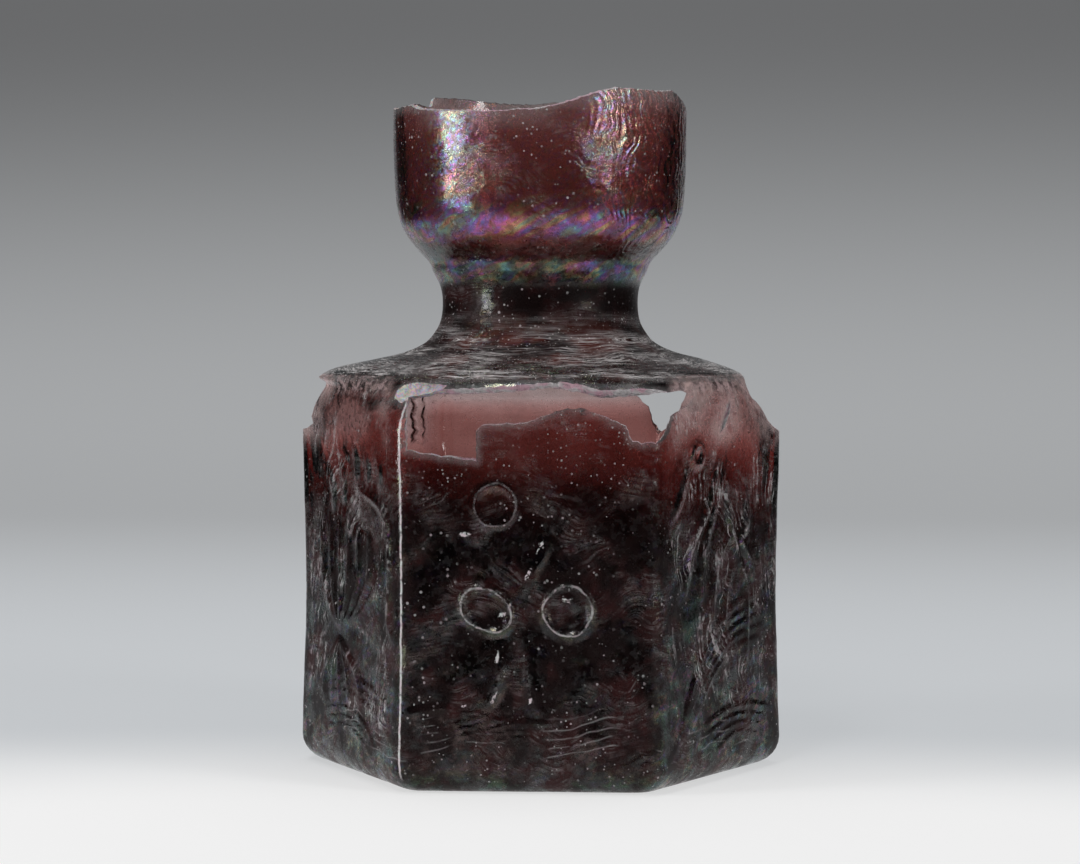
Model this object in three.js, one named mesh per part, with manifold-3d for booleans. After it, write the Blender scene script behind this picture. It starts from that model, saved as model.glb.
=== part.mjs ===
// A mould-blown hexagonal glass jar with a short neck and a wide cup-shaped mouth.
// Millimetres, +Z up. The origin is the middle of the flat base, and the front panel faces -Y.
import * as THREE from 'three';
import { mergeVertices } from 'three/addons/utils/BufferGeometryUtils.js';
import Module from 'manifold-3d';

const wasm = await Module();
wasm.setup();

// Body
const PANEL_WIDTH = 28.9;                          // side of the hexagon, from corner to corner
const APOTHEM = PANEL_WIDTH * Math.sqrt(3) / 2;    // from the axis to the middle of a panel
const CORNER_ROUND = 2.5;                          // radius of the upright corners
const FOOT_ROUND = 3.2;                            // radius where the panels turn into the base
const WAIST = 0.35;                                // how far the panels draw in at half height
const SHOULDER_FOOT = 38.6;                        // the panels lean in from here up
const HEXAGON_TOP = 40;                            // the plan starts to turn round here
const CIRCLE_FOOT = 47.5;                          // and is a circle from here up

// Glass
const BASE_THICKNESS = 2.6;
const WALL_THICKNESS = 1.5;
const THICK_FOOT = 9;                              // height over which the base thins to the wall
const RIM_THICKNESS = 1.2;
const NECK_HEIGHT = 54;

// Shoulder, neck and cup, as radius and height from the top of the panels to above the rim
const UPPER_PROFILE = [
  [APOTHEM, SHOULDER_FOOT], [24.95, 42.4], [24.35, 45.0], [22.7, 46.8], [19.4, 47.9], [16.2, 48.7],
  [13.8, 49.8], [12.6, 51.1], [11.9, 52.5], [11.65, 54.4], [11.85, 56.4], [12.7, 58.2], [13.2, 59.4],
  [14.4, 60.7], [15.7, 62.3], [16.7, 64.3], [17.25, 67.5], [17.5, 73], [17.5, 83],
];

// The broken rim: degrees round from the front towards +X, and height
const RIM = [
  [-73, 77.4], [-56, 77.5], [-50, 76.9], [-34, 76.5], [-16, 76.2], [2, 76.4], [10, 76.9], [18, 77.7],
  [26, 78.5], [34, 79], [46, 79], [54, 78.9], [64, 79.3], [76, 78.4], [88, 77.2], [110, 77.9], [128, 79.2],
  [150, 79.8], [168, 80.1], [190, 79.6], [206, 79.9], [220, 80.2], [233, 80.1], [235, 78.7], [246, 79],
  [262, 78], [276, 77.8],
];

// The holes broken through the walls, as x and height seen square to the front
const FRONT_BREAK = [
  [-14.6, 38.3], [-10, 37.7], [-5.6, 37.1], [-5.7, 40.3], [-5.1, 40.9], [0, 41.2], [5.8, 42.4],
  [9.6, 41.5], [11.9, 39.2], [13, 38], [15.1, 39.9], [16.1, 41.3], [18.3, 42.9], [18.1, 44.8],
  [12.4, 44.1], [8.1, 44.2], [5.9, 44.9], [2.5, 45.6], [-0.8, 44.9], [-9.8, 44.7], [-14.6, 43.8],
];
const BACK_BREAK = [
  [-1, 44.3], [9, 43.8], [11, 43], [12.6, 41.6], [13.2, 39.6], [14.2, 38.4], [16, 40],
  [17.4, 43.4], [13, 44.9], [7, 45.2],
];
const SLIT = [[-0.5, 39.6], [0.5, 41.6], [1.9, 43.2], [1.6, 41.9], [0.4, 40.2]];

// What is missing from the two side corners under the shoulder, as x and height seen square to the front
const LEFT_CHIP = [
  [-31, 39.4], [-28.3, 40], [-27.4, 40.4], [-27, 41.6], [-27.5, 42.2], [-27.1, 43.6], [-26.5, 44.5],
  [-24.6, 46.4], [-31, 48],
];
const RIGHT_CHIP = [
  [31, 39], [28.4, 39.4], [27.7, 39.9], [27, 40.7], [26.2, 42.2], [25.2, 43.2], [24.2, 45.8],
  [23.6, 46.6], [31, 48],
];
const CHIP_DEPTH = 18;

// Relief
const RIDGE_WIDTH = 0.75;
const RIDGE_HEIGHT = 0.45;
const FRONT = 0;
const LEFT = -1;
const RIGHT = 1;

// Mesh fineness
const OUTER_COLUMNS = 60;
const INNER_COLUMNS = 36;
const FOOT_ROWS = 3;
const BODY_ROWS = 6;
const OUTER_UPPER_ROWS = 26;
const INNER_UPPER_ROWS = 18;
const FLATNESS = 0.03;                             // faces closer to flat than this are joined
const SHORTEST_EDGE = 0.06;

const { lerp, smoothstep, degToRad } = THREE.MathUtils;

function panelRadius(height) {
  const along = (height - FOOT_ROUND) / (SHOULDER_FOOT - FOOT_ROUND);
  return APOTHEM - WAIST * Math.sin(Math.PI * THREE.MathUtils.clamp(along, 0, 1));
}

// 1 where the plan is hexagonal, 0 where it is round.
function squareness(height) {
  return 1 - smoothstep(height, HEXAGON_TOP, CIRCLE_FOOT);
}

// The outline of the outside from the middle of the base up to above the rim, without the two ends.
function outerProfile(upperRows) {
  const points = [];
  for (let i = 0; i < FOOT_ROWS; i++) {
    const turn = Math.PI / 2 * i / FOOT_ROWS;
    points.push(new THREE.Vector2(
      APOTHEM - FOOT_ROUND * (1 - Math.sin(turn)), FOOT_ROUND * (1 - Math.cos(turn))));
  }
  for (let i = 0; i < BODY_ROWS; i++) {
    const height = lerp(FOOT_ROUND, SHOULDER_FOOT, i / BODY_ROWS);
    points.push(new THREE.Vector2(panelRadius(height), height));
  }
  const upper = new THREE.SplineCurve(UPPER_PROFILE.map(([r, z]) => new THREE.Vector2(r, z)));
  return points.concat(upper.getPoints(upperRows));
}

function glassThickness(height) {
  const low = lerp(BASE_THICKNESS, WALL_THICKNESS, smoothstep(height, 0, THICK_FOOT));
  return lerp(low, RIM_THICKNESS, smoothstep(height, NECK_HEIGHT, UPPER_PROFILE.at(-1)[1]));
}

// The outline of the hollow: the outside moved inward, square to itself, by the glass thickness.
function innerProfile(upperRows) {
  const outside = outerProfile(upperRows);
  return outside.map((point, i) => {
    const before = i ? outside[i - 1] : new THREE.Vector2(0, 0);
    const along = (outside[i + 1] ?? point).clone().sub(before).normalize();
    const thickness = glassThickness(point.y);
    return new THREE.Vector2(point.x - along.y * thickness, point.y + along.x * thickness);
  });
}

// How far a hexagon with rounded corners reaches at an angle from the middle of a panel.
function hexagonReach(apothem, angle) {
  const offMiddle = Math.abs(angle);
  const flatHalf = (apothem - CORNER_ROUND) * Math.tan(Math.PI / 6);
  if (Math.tan(offMiddle) * apothem <= flatHalf) return apothem / Math.cos(offMiddle);
  const toCentre = (apothem - CORNER_ROUND) / Math.cos(Math.PI / 6);
  const offCorner = Math.PI / 6 - offMiddle;
  return toCentre * Math.cos(offCorner)
    + Math.sqrt(CORNER_ROUND ** 2 - (toCentre * Math.sin(offCorner)) ** 2);
}

// A lathe of the profile, closed over its two ends, with its rings pushed out to the hexagon.
function hexagonalSolid(profile, columns) {
  const ends = [new THREE.Vector2(0, profile[0].y), new THREE.Vector2(0, profile.at(-1).y)];
  const points = [ends[0], ...profile, ends[1]];
  const geometry = new THREE.LatheGeometry(points, columns);
  const perPanel = columns / 6;
  const position = geometry.attributes.position;
  for (let i = 0; i < position.count; i++) {
    const point = points[i % points.length];
    const panels = (Math.floor(i / points.length) % columns) / perPanel;
    const side = 2 * (panels - Math.round(panels));
    const square = squareness(point.y);
    const offMiddle = Math.PI / 6 * lerp(side, Math.sin(Math.PI / 2 * side), square);
    const angle = Math.PI / 3 * Math.round(panels) + offMiddle - Math.PI / 2;
    const reach = point.x
      ? lerp(point.x, hexagonReach(Math.max(point.x, CORNER_ROUND + 1), offMiddle), square) : 0;
    position.setXYZ(i, reach * Math.cos(angle), reach * Math.sin(angle), point.y);
  }
  return solidOf(geometry);
}

// A closed geometry as a solid that can be joined and cut.
function solidOf(geometry) {
  geometry.deleteAttribute('normal');
  geometry.deleteAttribute('uv');
  const merged = mergeVertices(geometry, 1e-4);
  return new wasm.Manifold(new wasm.Mesh({
    numProp: 3,
    vertProperties: new Float32Array(merged.attributes.position.array),
    triVerts: wholeTriangles(Array.from(merged.index.array)),
  }));
}

// The solid with its shortest edges closed up, which clears the slivers that joins and cuts leave.
function withoutSlivers(solid) {
  const { vertProperties, triVerts } = solid.simplify(FLATNESS).getMesh();
  const same = Array.from({ length: vertProperties.length / 3 }, (_, i) => i);
  const first = (i) => (same[i] === i ? i : first(same[i]));
  const [from, to] = [new THREE.Vector3(), new THREE.Vector3()];
  const shortEdges = [];
  for (let i = 0; i < triVerts.length; i++) {
    const a = triVerts[i];
    const b = triVerts[i % 3 === 2 ? i - 2 : i + 1];
    const length = from.fromArray(vertProperties, 3 * a).distanceTo(to.fromArray(vertProperties, 3 * b));
    if (a < b && length < SHORTEST_EDGE) shortEdges.push({ a, b, length });
  }
  shortEdges.sort((one, other) => one.length - other.length);
  for (const { a, b } of shortEdges) {
    if (first(a) !== first(b)) same[first(b)] = first(a);
  }
  const corners = Array.from(triVerts, first);
  return new wasm.Manifold(new wasm.Mesh({
    numProp: 3, vertProperties, triVerts: wholeTriangles(corners),
  })).simplify(FLATNESS);
}

function wholeTriangles(corners) {
  const kept = [];
  for (let i = 0; i < corners.length; i += 3) {
    const [a, b, c] = corners.slice(i, i + 3);
    if (a !== b && b !== c && c !== a) kept.push(a, b, c);
  }
  return new Uint32Array(kept);
}

// A prism of an outline drawn on the front panel, running from the axis out past the wall.
function frontPrism(outline, depth) {
  const shape = new THREE.Shape(outline.map(([x, z]) => new THREE.Vector2(x, z)));
  const geometry = new THREE.ExtrudeGeometry(shape, { depth, bevelEnabled: false });
  return geometry.rotateX(Math.PI / 2);
}

// What is missing above the broken rim: a disc whose underside follows the break.
function rimBreak() {
  const [inside, outside, middle, top] = [12, 25, 78.5, 90];
  const section = [[0, middle], [inside, middle], [outside, middle], [outside, top], [0, top]];
  const geometry = new THREE.LatheGeometry(
    section.map(([r, z]) => new THREE.Vector2(r, z)), RIM.length);
  const position = geometry.attributes.position;
  for (let i = 0; i < position.count; i++) {
    const [radius, level] = section[i % section.length];
    const [degrees, height] = RIM[Math.floor(i / section.length) % RIM.length];
    const angle = degToRad(degrees - 90);
    const onBreak = radius && level === middle;
    position.setXYZ(i, radius * Math.cos(angle), radius * Math.sin(angle), onBreak ? height : level);
  }
  return solidOf(geometry);
}

// A raised line with tapering ends: a long bead laid half sunk along a curve on one panel.
function ridge(panel, points, width = RIDGE_WIDTH, height = RIDGE_HEIGHT) {
  const path = new THREE.SplineCurve(points.map(([x, z]) => new THREE.Vector2(x, z)));
  const steps = Math.max(5, Math.round(path.getLength() / 2.2));
  const geometry = new THREE.SphereGeometry(1, 6, steps);
  const position = geometry.attributes.position;
  const corner = new THREE.Vector3();
  for (let i = 0; i < position.count; i++) {
    corner.fromBufferAttribute(position, i);
    const along = Math.acos(THREE.MathUtils.clamp(corner.y, -1, 1)) / Math.PI;
    const place = path.getPointAt(along);
    const run = path.getTangentAt(along);
    const fullness = Math.sqrt(Math.hypot(corner.x, corner.z)) || 1;
    const aside = corner.x / fullness * width;
    const proud = corner.z / fullness * height;
    const z = place.y + run.x * aside;
    position.setXYZ(i, place.x - run.y * aside, -panelRadius(z) - proud, z);
  }
  return solidOf(geometry.rotateZ(panel * Math.PI / 3));
}

// A raised ring, drawn out along a slope to an oval where its two radii differ.
function ring(panel, x, z, long, short, slope = 0) {
  const geometry = new THREE.TorusGeometry(1, 0.2, 5, 16);
  geometry.scale(long, short, RIDGE_HEIGHT / 0.2).rotateZ(degToRad(slope)).rotateX(Math.PI / 2);
  geometry.translate(x, -panelRadius(z), z).rotateZ(panel * Math.PI / 3);
  return solidOf(geometry);
}

function frontRelief() {
  return [
    ring(FRONT, -4.6, 20.5, 2.9, 2.1, -32),
    ring(FRONT, 4.5, 20.4, 2.6, 2.65),
    ridge(FRONT, [[3.5, 21], [4.6, 21.4], [5.4, 20.8]], 0.9, 0.5),
    ring(FRONT, -3.6, 32, 2.3, 2.2),
    ridge(FRONT, [[2.6, 28.3], [1.2, 25.6], [-0.2, 22.9]], 0.7, 0.3),
    ridge(FRONT, [[-3, 16.6], [-3.1, 13], [-4.6, 9.4]]),
    ridge(FRONT, [[0.2, 16.2], [0.1, 12], [1.2, 9]]),
  ];
}

// Upright loops nested about a stem, with leaves spreading at its foot.
function leftRelief() {
  const STEM_TOP = 16.8;
  const loops = [[-7.9, 28.4], [-5.2, 28.9], [0, 29.2], [3, 28.8], [6.1, 28.2], [9.2, 28.3]];
  const strokes = loops.map(([x, top]) => ridge(
    LEFT, [[x, top], [x * 0.97, 23.4], [lerp(-2.6, x, 0.55), 19.2], [-2.6, STEM_TOP]], 0.6));
  for (const [x, top] of [[1.9, 38.6], [5.2, 38.2], [8.6, 37.6]]) {
    strokes.push(ridge(LEFT, [[x, top], [x + 1, top - 2], [x + 0.7, top - 4.2]], 0.6));
  }
  for (const x of [-7.2, -2.6, 4]) {
    strokes.push(ridge(LEFT, [[-2.8, 15.6], [lerp(-2.8, x, 0.8), 11.8], [x, 8.6]]));
  }
  strokes.push(ridge(LEFT, [[3.5, 33.2], [10.1, 31], [12, 25.8], [11.3, 19.4], [12.4, 17]]));
  return strokes;
}

// Long leaves leaning across the panel, beside a pointed one.
function rightRelief() {
  return [
    ridge(RIGHT, [[-1.1, 35.6], [-2.9, 31.4], [-6.7, 27], [-8, 21.8]], 0.8, 0.5),
    ridge(RIGHT, [[0.6, 35.3], [-2.1, 30.1], [-4.2, 25.6], [-4.2, 20.8]], 0.7, 0.4),
    ridge(RIGHT, [[-7.9, 36.2], [-9.3, 32.8], [-11.2, 30.2]], 0.7),
    ridge(RIGHT, [[1.2, 34.2], [1.3, 31.4], [3.9, 25.1], [5.9, 21.6], [6, 13]], 0.6),
    ridge(RIGHT, [[5.3, 33.4], [5.9, 29], [4.6, 27.2], [6.8, 24.4], [8.2, 20.6]], 0.6),
    ridge(RIGHT, [[2.6, 28], [0.2, 26], [-1.6, 22.6], [-1.9, 17]], 0.55),
    ring(RIGHT, -5.8, 37.2, 1.2, 1.1),
    ridge(RIGHT, [[-0.8, 4.6], [3.2, 5.2], [8.4, 4.4]], 0.6, 0.35),
  ];
}

function wornPlaces() {
  const slit = frontPrism(SLIT, 2 * APOTHEM).rotateZ(RIGHT * Math.PI / 3);
  const chips = [LEFT_CHIP, RIGHT_CHIP].map((outline) => (
    frontPrism(outline, CHIP_DEPTH).translate(0, CHIP_DEPTH / 2, 0)));
  return [
    rimBreak(),
    solidOf(frontPrism(FRONT_BREAK, 2 * APOTHEM)),
    solidOf(frontPrism(BACK_BREAK, 2 * APOTHEM).translate(0, 2 * APOTHEM, 0)),
    solidOf(slit),
    ...chips.map(solidOf),
  ];
}

function glassJar() {
  let jar = hexagonalSolid(outerProfile(OUTER_UPPER_ROWS), OUTER_COLUMNS);
  for (const raised of [...frontRelief(), ...leftRelief(), ...rightRelief()]) jar = jar.add(raised);
  jar = jar.subtract(hexagonalSolid(innerProfile(INNER_UPPER_ROWS), INNER_COLUMNS));
  for (const lost of wornPlaces()) jar = jar.subtract(lost);
  const { vertProperties, triVerts } = withoutSlivers(jar).getMesh();
  const geometry = new THREE.BufferGeometry();
  geometry.setAttribute('position', new THREE.BufferAttribute(vertProperties, 3));
  geometry.setIndex(new THREE.BufferAttribute(triVerts, 1));
  geometry.computeVertexNormals();
  const glass = new THREE.MeshStandardMaterial({
    color: 0x3a1a1e, roughness: 0.12, metalness: 0, transparent: true, opacity: 0.75,
  });
  const mesh = new THREE.Mesh(geometry, glass);
  mesh.name = 'glass_jar';
  return mesh;
}

const part = new THREE.Group();
part.add(glassJar());
export default part;
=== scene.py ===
"""A mould-blown hexagonal jar of dark purple-brown glass, broken at rim and shoulder, in a plain studio."""

import math

import bmesh
import bpy
import numpy as np
from bpy.props import FloatProperty, FloatVectorProperty, IntProperty, PointerProperty
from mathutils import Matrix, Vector
from mathutils.kdtree import KDTree


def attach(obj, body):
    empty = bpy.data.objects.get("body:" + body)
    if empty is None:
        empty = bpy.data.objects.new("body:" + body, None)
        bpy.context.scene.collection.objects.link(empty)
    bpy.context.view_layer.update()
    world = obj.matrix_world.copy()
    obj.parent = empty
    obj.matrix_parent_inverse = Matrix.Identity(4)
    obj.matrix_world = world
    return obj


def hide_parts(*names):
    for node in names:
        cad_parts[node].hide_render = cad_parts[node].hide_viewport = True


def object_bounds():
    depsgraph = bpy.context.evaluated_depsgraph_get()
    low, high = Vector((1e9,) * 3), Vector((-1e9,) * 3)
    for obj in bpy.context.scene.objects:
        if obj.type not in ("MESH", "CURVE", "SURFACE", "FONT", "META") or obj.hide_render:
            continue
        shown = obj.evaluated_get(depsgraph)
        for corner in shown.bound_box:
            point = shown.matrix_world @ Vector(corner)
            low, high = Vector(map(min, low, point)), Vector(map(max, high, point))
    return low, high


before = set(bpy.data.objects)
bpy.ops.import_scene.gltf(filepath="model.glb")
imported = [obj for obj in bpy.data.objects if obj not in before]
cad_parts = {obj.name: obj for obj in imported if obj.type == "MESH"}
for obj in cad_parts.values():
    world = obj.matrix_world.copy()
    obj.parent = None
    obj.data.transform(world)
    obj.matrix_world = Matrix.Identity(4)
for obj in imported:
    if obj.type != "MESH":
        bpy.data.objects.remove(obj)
CAD_LOW, CAD_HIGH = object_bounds()

bl_info = {
    "name": "Hexagonal Glass Jar",
    "version": (1, 0, 0),
    "blender": (4, 5, 0),
    "location": "3D View > Sidebar > Glass Jar",
    "description": "Blows, breaks, weathers and lights a hexagonal glass jar",
    "category": "Add Mesh",
}

# One millimetre of the jar, from its height: the highest point of the rim stands 80.2 above the base.
MM = (CAD_HIGH[2] - CAD_LOW[2]) / 80.2
NODE = "glass_jar"
BODY = "root"

FRONT, LEFT, RIGHT = 0, -1, 1

# Radius and height, in millimetres, from the top of the panels to above the rim.
UPPER_PROFILE = [
    (25.0, 38.6), (24.98, 42.4), (24.8, 44.4), (24.1, 45.8), (22.7, 46.75), (19.4, 47.9), (16.2, 48.7),
    (13.8, 49.8), (12.6, 51.1), (11.9, 52.5), (11.65, 54.4), (11.85, 56.4), (12.7, 58.2), (13.2, 59.4),
    (14.4, 60.7), (15.7, 62.3), (16.7, 64.3), (17.25, 67.5), (17.5, 73), (17.5, 83),
]
# Degrees round from the front towards +X, and height.
RIM = [
    (-73, 77.4), (-56, 77.5), (-50, 76.9), (-34, 76.5), (-16, 76.2), (2, 76.4), (10, 76.9), (18, 77.7),
    (26, 78.5), (34, 79), (46, 79), (54, 78.9), (64, 79.3), (76, 78.4), (88, 77.2), (110, 77.9), (128, 79.2),
    (150, 79.8), (168, 80.05), (190, 79.6), (206, 79.9), (220, 80.15), (233, 80.05), (235, 78.7), (246, 79),
    (262, 78), (276, 77.8),
]
# The holes broken through the walls, as x and height seen square to their panel.
FRONT_BREAK = [
    (-13.5, 38.3), (-10, 37.7), (-5.6, 37.1), (-5.7, 40.3), (-5.1, 40.9), (0, 41.2), (3, 42.3),
    (5.8, 42.5), (8.3, 41.9), (10.8, 40.9), (11.6, 39.3), (14.1, 39.1), (15, 40), (15.7, 41.8),
    (17.6, 42.9), (18.3, 43.8), (18.1, 44.7), (12.4, 44.1), (8.1, 43.8), (5.9, 44.4), (2.5, 45.0),
    (-0.8, 44.6), (-6.0, 44.3), (-9.8, 44.2), (-13.5, 43.6),
]
# Where the plate has flaked above the left corner of the front break.
FLAKE = [
    (-17.6, 45.7), (-14.8, 46.1), (-11.6, 45.8), (-8.6, 45.2), (-9.8, 44.4), (-12.4, 43.8), (-14.2, 43.2),
    (-15.4, 43.6), (-16.6, 44.8),
]
BACK_BREAK = [
    (6.5, 44.1), (9, 43.8), (11, 43), (12.6, 41.6), (13.2, 39.6), (14.2, 38.4), (16, 40), (17.4, 43.4),
    (13, 44.9), (8, 44.9),
]
SLIT = [(-0.5, 39.6), (0.5, 41.6), (1.9, 43.2), (1.6, 41.9), (0.4, 40.2)]

# What is missing from the two side corners under the shoulder, seen square to the front.
LEFT_CHIP = [
    (-31, 39.2), (-28.4, 39.5), (-27.6, 39.7), (-26.7, 40.3), (-27.0, 41.1), (-26.7, 42.2), (-26.0, 43.6),
    (-25.3, 44.7), (-25.0, 45.2), (-25.6, 45.5), (-26.3, 45.8), (-26.6, 46.2), (-31, 46.6),
]
RIGHT_CHIP = [
    (31, 39.0), (28.4, 39.4), (27.7, 39.9), (27.0, 40.7), (26.2, 42.2), (25.2, 43.2), (24.6, 44.4),
    (24.2, 45.8), (23.6, 46.6), (31, 48),
]

# Bright marks painted on the front panel as highlights: middle, half length and half width in millimetres,
# slope in degrees.
FRONT_GLINTS = [
    ((-6.9, 28.8), 0.7, 0.22, 0), ((0.1, 24.5), 0.9, 0.28, 60), ((1.4, 27.4), 1.0, 0.12, 60),
    ((-2.8, 19.9), 0.6, 0.25, 35), ((4.3, 21.6), 0.7, 0.2, 0), ((-3.3, 15.2), 0.7, 0.2, 80),
    ((-3.7, 10.8), 0.8, 0.22, 65), ((0.3, 10.5), 0.45, 0.2, 70), ((-7.1, 9.9), 0.4, 0.15, 10),
]

THIRTY = math.radians(30)
OUTER_INSET = 0.045    # the whole outside is drawn in by this much, to stay inside the solid
CLEAN_FOOT = 1.5       # no grains of crust lie lower than this
AXIS_INSET = 30        # marks the section of the front cutter that stands on the axis


# ---------------------------------------------------------------- node expressions

def math_node(operation, swapped=False):
    """A method that adds one Math node, with its own value first or, when swapped, last."""
    def method(self, *others):
        values = (*others, self) if swapped else (self, *others)
        return self.flow.math(operation, *values)
    return method


class Value:
    """A node socket that can be used in sums; every operation adds a Math node to its tree."""

    def __init__(self, flow, socket):
        self.flow = flow
        self.socket = socket

    __add__ = __radd__ = math_node("ADD")
    __mul__ = __rmul__ = math_node("MULTIPLY")
    __sub__ = math_node("SUBTRACT")
    __rsub__ = math_node("SUBTRACT", swapped=True)
    __truediv__ = math_node("DIVIDE")
    __rtruediv__ = math_node("DIVIDE", swapped=True)
    __pow__ = math_node("POWER")
    __lt__ = math_node("LESS_THAN")
    __gt__ = math_node("GREATER_THAN")
    abs = math_node("ABSOLUTE")
    round = math_node("ROUND")
    sin = math_node("SINE")
    cos = math_node("COSINE")
    tan = math_node("TANGENT")
    root = math_node("SQRT")
    fraction = math_node("FRACT")
    least = math_node("MINIMUM")
    most = math_node("MAXIMUM")

    def __neg__(self):
        return self * -1

    def held(self):
        """This value kept between 0 and 1."""
        return self.least(1).most(0)

    def step(self, low, high, from_value=0, to_value=1):
        """Smoothly from one value to another as this one goes from low to high."""
        return self.flow.node("ShaderNodeMapRange", {"interpolation_type": "SMOOTHSTEP", "clamp": True}, {
            "Value": self, "From Min": low, "From Max": high, "To Min": from_value, "To Max": to_value,
        }).out()

    def band(self, start, full, fading, end):
        """1 where this value is from full to fading, and 0 before start and past end."""
        return self.step(start, full) * self.step(end, fading)


class Made:
    """A node that has been added, with its outputs."""

    def __init__(self, flow, node):
        self.flow = flow
        self.node = node

    def out(self, name=0):
        return Value(self.flow, self.node.outputs[name])


class Flow:
    """One node tree and the short ways to add to it."""

    def __init__(self, tree):
        self.tree = tree

    def node(self, kind, settings=None, inputs=None):
        node = self.tree.nodes.new(kind)
        for name, setting in (settings or {}).items():
            setattr(node, name, setting)
        for name, given in (inputs or {}).items():
            self.feed(node.inputs[name], given)
        return Made(self, node)

    def feed(self, socket, given):
        """Links a value to a socket, or sets a plain number or a colour of three parts on it."""
        if isinstance(given, Made):
            given = given.out()
        if isinstance(given, Value):
            self.tree.links.new(given.socket, socket)
        elif socket.type == "RGBA":
            socket.default_value = (*given, 1)
        else:
            socket.default_value = given

    def math(self, operation, *values):
        return self.node("ShaderNodeMath", {"operation": operation}, dict(enumerate(values))).out()

    def parts(self, vector):
        split = self.node("ShaderNodeSeparateXYZ", inputs={0: vector})
        return [split.out(i) for i in range(3)]

    def vector(self, *xyz):
        return self.node("ShaderNodeCombineXYZ", inputs=dict(enumerate(xyz))).out()


class Surface(Flow):
    """A material's tree, with places in millimetres, colours, patterns and shaders."""

    def __init__(self, name):
        self.material = bpy.data.materials.new(name)
        self.material.use_nodes = True
        super().__init__(self.material.node_tree)
        self.tree.nodes.clear()
        place = self.node("ShaderNodeTexCoord").out("Object")
        self.place = self.node("ShaderNodeVectorMath", {"operation": "SCALE"},
                               {"Vector": place, "Scale": 1 / MM}).out()
        self.x, self.y, self.z = self.parts(self.place)

    def mix(self, factor, one, other):
        made = self.node("ShaderNodeMix", {"data_type": "RGBA", "blend_type": "MIX"})
        for index, given in ((0, factor), (6, one), (7, other)):
            self.feed(made.node.inputs[index], given)
        return Value(self, made.node.outputs[2])

    def noise(self, scale, detail=2.0, roughness=0.5, distortion=0.0, vector=None):
        return self.node("ShaderNodeTexNoise", inputs={
            "Vector": vector or self.place, "Scale": scale, "Detail": detail,
            "Roughness": roughness, "Distortion": distortion}).out("Fac")

    def wander(self, width, scale, detail=2.0, roughness=0.5, vector=None):
        """A smooth offset, to either side, of up to half this width."""
        return (self.noise(scale, detail, roughness, 0.0, vector) - 0.5) * width

    def upright(self):
        """A place that changes with height alone."""
        return self.vector(0.0, 0.0, self.z)

    def cells(self, scale):
        made = self.node("ShaderNodeTexVoronoi", {"feature": "F1"}, {"Vector": self.place, "Scale": scale})
        return made.out("Distance"), self.parts(made.out("Color"))

    def ramp(self, factor, stops):
        made = self.node("ShaderNodeValToRGB", inputs={0: factor})
        points = made.node.color_ramp.elements
        for place, _ in stops[1:-1]:
            points.new(place)
        for point, (place, colour) in zip(points, stops):
            point.position = place
            point.color = (*colour, 1)
        return made.out()

    def attribute(self, name):
        return self.node("ShaderNodeAttribute", {"attribute_name": name}).out("Fac")

    def bump(self, height):
        """A bump whose height is in millimetres."""
        return self.node("ShaderNodeBump", inputs={"Height": height, "Distance": MM, "Strength": 1.0}).out()

    def principled(self, **sockets):
        made = self.node("ShaderNodeBsdfPrincipled")
        for name, given in sockets.items():
            self.feed(made.node.inputs[name.replace("_", " ").title().replace("Ior", "IOR")], given)
        return made.out()

    def blend(self, factor, one, other):
        return self.node("ShaderNodeMixShader", inputs={0: factor, 1: one, 2: other}).out()

    def finish(self, shader, volume=None):
        inputs = {"Surface": shader}
        if volume is not None:
            inputs["Volume"] = volume
        self.node("ShaderNodeOutputMaterial", inputs=inputs)
        return self.material


# ---------------------------------------------------------------- finishes
# All lengths and heights in the finishes are in millimetres.

RAINBOW = [
    (0.00, (0.10, 0.16, 0.75)), (0.16, (0.08, 0.55, 0.62)), (0.32, (0.30, 0.72, 0.38)),
    (0.46, (0.85, 0.72, 0.16)), (0.60, (0.92, 0.28, 0.10)), (0.74, (0.85, 0.12, 0.42)),
    (0.88, (0.45, 0.12, 0.80)), (1.00, (0.10, 0.16, 0.75)),
]


def oval_share(dx, dz, long, short, slope):
    """How far along and across a sloping oval a place is, as shares of its half length and half width."""
    c, s = math.cos(math.radians(slope)), math.sin(math.radians(slope))
    return (dx * c + dz * s) / long, (dz * c - dx * s) / short


def reach_of(surface):
    """How far a place is from the axis."""
    return (surface.x * surface.x + surface.y * surface.y).root()


def flow_phase(surface):
    """Height less a share of the reach, bent by slow swirls; its contours run as threads of glass do."""
    slow = surface.noise(0.075, 2.0, 0.45) * 14.0
    quick = surface.noise(0.3) * 1.6
    return surface.z - reach_of(surface) * 0.3 + (slow + quick)


def thread_lines(phase, spacing, sharpness):
    """Thin crests once every spacing of the phase."""
    return ((phase * (2 * math.pi / spacing)).sin() * 0.5 + 0.5) ** sharpness


def contour(field, sharpness):
    """A thin line wherever a noise field passes through its middle value."""
    return 1 - ((field - 0.5).abs() * sharpness).held()


def scattered_dots(surface, scale, size, share):
    """Round dots of many sizes, as a mask: only a share of the cells holds one."""
    distance, (chance, spread, _) = surface.cells(scale)
    radius = spread * size + size * 0.25
    return (distance < radius) * (chance < share)


def fibres(surface, phase, along, across):
    """Irregular fibres that run along the contours of the phase."""
    place = surface.vector(surface.x * along, surface.y * along, phase * across)
    return contour(surface.noise(1.0, 3.0, 0.6, 0.0, place), 9.0)


def threads(surface):
    """Broad and fine fibres, then where they are strong: over the shoulder, and in drifts elsewhere."""
    shoulder = surface.z.band(45.3, 46.0, 50.0, 54.0)
    drift = surface.noise(0.16).step(0.46, 0.62)
    around = surface.z * 1.5 + surface.wander(3.0, 0.12)
    phase = shoulder * around + (1 - shoulder) * flow_phase(surface)
    return fibres(surface, phase, 0.10, 2.4), fibres(surface, phase, 0.2, 5.5), shoulder, drift


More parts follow.
